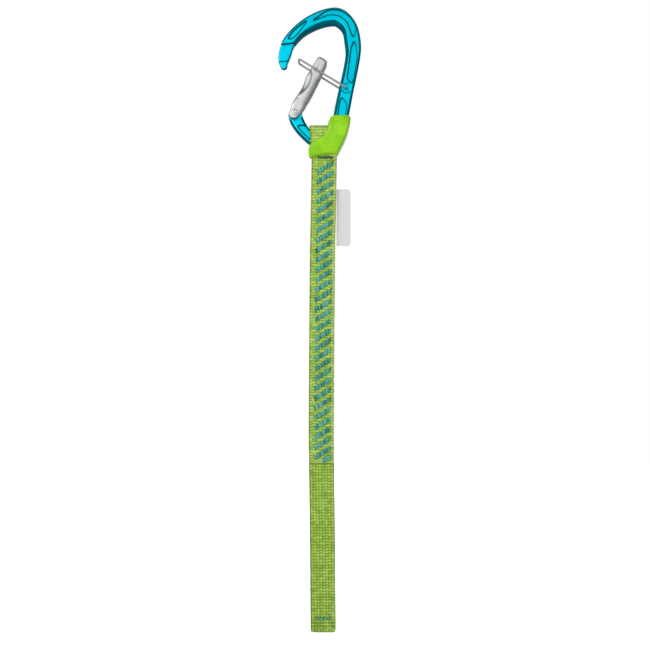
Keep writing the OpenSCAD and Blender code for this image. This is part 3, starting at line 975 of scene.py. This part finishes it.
def needle_hole_shade(co):
    """How near each point of the band, in mm, is to a needle hole of the slanting tacks, for painted shade
    round the holes.
    """
    ends = [(x, z) for pair in tack_stitches() for x, z in pair]
    tree = kdtree.KDTree(len(ends))
    for i, (x, z) in enumerate(ends):
        tree.insert((x, 0, z), i)
    tree.balance()
    low, high = min(z for _, z in ends), max(z for _, z in ends)
    near = np.full(len(co), np.inf)
    for i in np.nonzero((co[:, 2] > low - 1) & (co[:, 2] < high + 1) & (np.abs(co[:, 1]) > 2))[0]:
        near[i] = tree.find((co[i, 0], 0, co[i, 2]))[2]
    return np.exp(-((near / 0.5) ** 2))


def stitching(teal, navy):
    """The slanting tacks on both faces, the tack at the neck, and the low one on the front."""
    rng = np.random.default_rng(3)
    pairs = tack_stitches()
    for face, name, replaced in ((-1, "front_tacks", "front_bartacks"), (1, "back_tacks", "back_bartacks")):
        paths = [stitch(a, b, face, FACE_Y, PROUD * rng.uniform(0.8, 1.15)) for a, b in pairs]
        tones = rng.choice([0.15, 0.5, 0.75, 1.0], len(paths), p=[0.2, 0.3, 0.3, 0.2]).tolist()
        ob = tubes(name, paths, THREAD_R, 6, tones)
        finish_with(ob, teal)
        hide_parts(replaced)
        bend_at_neck(ob)
    low, high = in_mm(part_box("top_bartack"))
    paths = []
    for face, k in product(FRONT_BACK, range(NECK_STITCHES)):
        x = low[0] + (high[0] - low[0]) * (k + 0.5) / NECK_STITCHES
        lean = zigzag(k, 0.28)
        paths.append(stitch((x - lean, low[2] - 0.9), (x + lean, high[2] - 0.1), face, FACE_Y, PROUD))
    ob = tubes("neck_tack", paths, NECK_THREAD_R, 6)
    finish_with(ob, navy)
    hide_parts("top_bartack")
    bend_at_neck(ob)
    low, high = in_mm(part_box("lower_bartack"))
    paths = []
    for k, x in enumerate(np.linspace(low[0] + 0.4, high[0] - 0.4, len(LOW_TONES))):
        lean = zigzag(k, 0.35)
        paths.append(stitch((x - lean, low[2] - 0.3), (x + lean, high[2] + 0.2), -1, -high[1] - 0.1, 0.16))
    ob = tubes("low_tack", paths, LOW_THREAD_R, 6, LOW_TONES)
    finish_with(ob, teal)
    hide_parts("lower_bartack")
    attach(ob, "sling")


# ---------------------------------------------------------------- keeper and label

KEEPER_RIM = [
    (-1.3, -64.2), (4, -63.9), (9.2, -64.0), (11.2, -66.2), (9.9, -73.1), (7.4, -80.2), (3.8, -87.4),
    (1.9, -90.5), (-4, -90.9), (-11.1, -91.9), (-15.7, -92.8), (-17.8, -91.6), (-18.2, -88.6),
    (-17.2, -85.2), (-15.0, -82.7), (-11.1, -81.2), (-7.9, -78.9), (-5.5, -75.9), (-4.5, -72.3),
    (-4.1, -68.2),
]
# half thickness of the keeper, and of the room in it for the webbing, at each height
KEEPER_HALF = [
    (-95, 5.0), (-91, 6.2), (-86, 8.1), (-79, 8.3), (-72, 8.25), (-69, 7.9), (-66, 6.9), (-63, 6.4),
]
ROOM_HALF = [(-94.5, 2.75), (-91.6, 2.8), (-88, 5.6), (-84, 6.95), (-60, 6.95)]
ROOM_RIGHT, ROOM_TOP = 1.7, -69.9
KEEPER_EDGE = 1.7
KEEPER_STEP = 0.3


def keeper(material):
    """The moulded rubber, with room left in it for the bar and for the webbing."""
    x, y, z = axes = axes_between((-19.5, -9.2, -94.5), (12.6, 9.2, -62.8), KEEPER_STEP)
    rim = inside_outline(smooth_line(KEEPER_RIM, 5, closed=True), x, z)
    gx, gy, gz = x[:, None, None], np.abs(y)[None, :, None], z[None, None, :]
    # a little thinner towards its rim
    swell = 1 - np.clip(-rim / 6.5, 0, 1)
    half = np.interp(z, *zip(*KEEPER_HALF))[None, :] * (0.95 + 0.05 * np.sqrt(1 - swell**2))
    field = rounded_slab(rim, y, half[:, None, :], KEEPER_EDGE)
    bar = inside_outline(cut_outlines("carabiner_frame", WHOLE_CUT)[0], x, z)
    bar_room = np.maximum(bar[:, None, :] - 0.05, gy - BAR_HALF - 0.05)
    room = np.interp(z, *zip(*ROOM_HALF))[None, None, :]
    left = sling_middle(gz) - WEB_W / 2 - 0.7 * above_neck(gz)
    web_room = np.maximum(np.maximum(gy - room, gx - ROOM_RIGHT), np.maximum(left - gx, gz - ROOM_TOP))
    for hollow in (bar_room, web_room):
        field = blend_max(field, -hollow, 0.25)
    ob = skin("keeper", field, axes)
    finish_with(ob, material)
    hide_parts("rubber_keeper")
    bend_at_neck(ob)


def label(material):
    """A single cloth tag with rounded outer corners, curling a little away from flat."""
    low, high = in_mm(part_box("label_tag"))
    columns, rows, corner = 28, 90, 2.4
    width, length = high[0] - low[0], high[2] - low[2]
    u, v = np.meshgrid(np.linspace(0, 1, columns), np.linspace(0, 1, rows), indexing="ij")
    x = low[0] + u * width
    # the outer corners are rounded by drawing the ends in
    past = np.clip(u * width - (width - corner), 0, corner)
    drawn = corner - np.sqrt(corner**2 - past**2)
    z = low[2] + drawn + v * (length - 2 * drawn)
    curl = 0.35 * u**2 * np.sin(math.pi * v * 0.9 + 0.2) + 0.1 * np.sin(9 * v + 2) * u
    thick = 0.16 - 0.06 * u
    front = np.stack([x, curl - thick, z], 2).reshape(-1, 3)
    back = np.stack([x, curl + thick, z], 2).reshape(-1, 3)
    n = columns * rows
    faces = []
    for i, k in product(range(columns - 1), range(rows - 1)):
        a, b = i * rows + k, (i + 1) * rows + k
        faces += [(a, b, b + 1, a + 1), (n + a + 1, n + b + 1, n + b, n + a)]
    border = (
        [i * rows for i in range(columns)]
        + [(columns - 1) * rows + k for k in range(1, rows)]
        + [i * rows + rows - 1 for i in reversed(range(columns - 1))]
        + list(reversed(range(1, rows - 1)))
    )
    faces += [(b, a, n + a, n + b) for a, b in zip(border, border[1:] + border[:1])]
    ob = mesh_object("side_label", np.vstack([front, back]), faces)
    finish_with(ob, material)
    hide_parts("label_tag")
    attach(ob, "label")


# ---------------------------------------------------------------- build

camera()
studio()
floor()
steel_wire = brushed("steel_wire", (0.36, 0.36, 0.35), (1, 0, -0.6), 1500.0, 0.55)
forged_bar(anodised())
gate(brushed("gate_alloy", (0.55, 0.56, 0.555), gate_up, 2600.0, 0.5))
rivet(brushed("turned_steel", (0.5, 0.51, 0.53), (0, 1, 0), 1800.0, 0.3))
bail(steel_wire)
coil_spring(steel_wire)
finish_with(frame["nodes"]["gate_plunger"], steel_wire)
woven_band(webbing_cloth())
finish_with(frame["nodes"]["sling_stiffener"], plastic())
stitching(
    sewing_thread("teal_thread", (0.0, 0.17, 0.12), (0.13, 0.55, 0.46)),
    sewing_thread("navy_thread", (0.0, 0.03, 0.03), (0.005, 0.09, 0.11)),
)
keeper(rubber())
label(label_cloth())
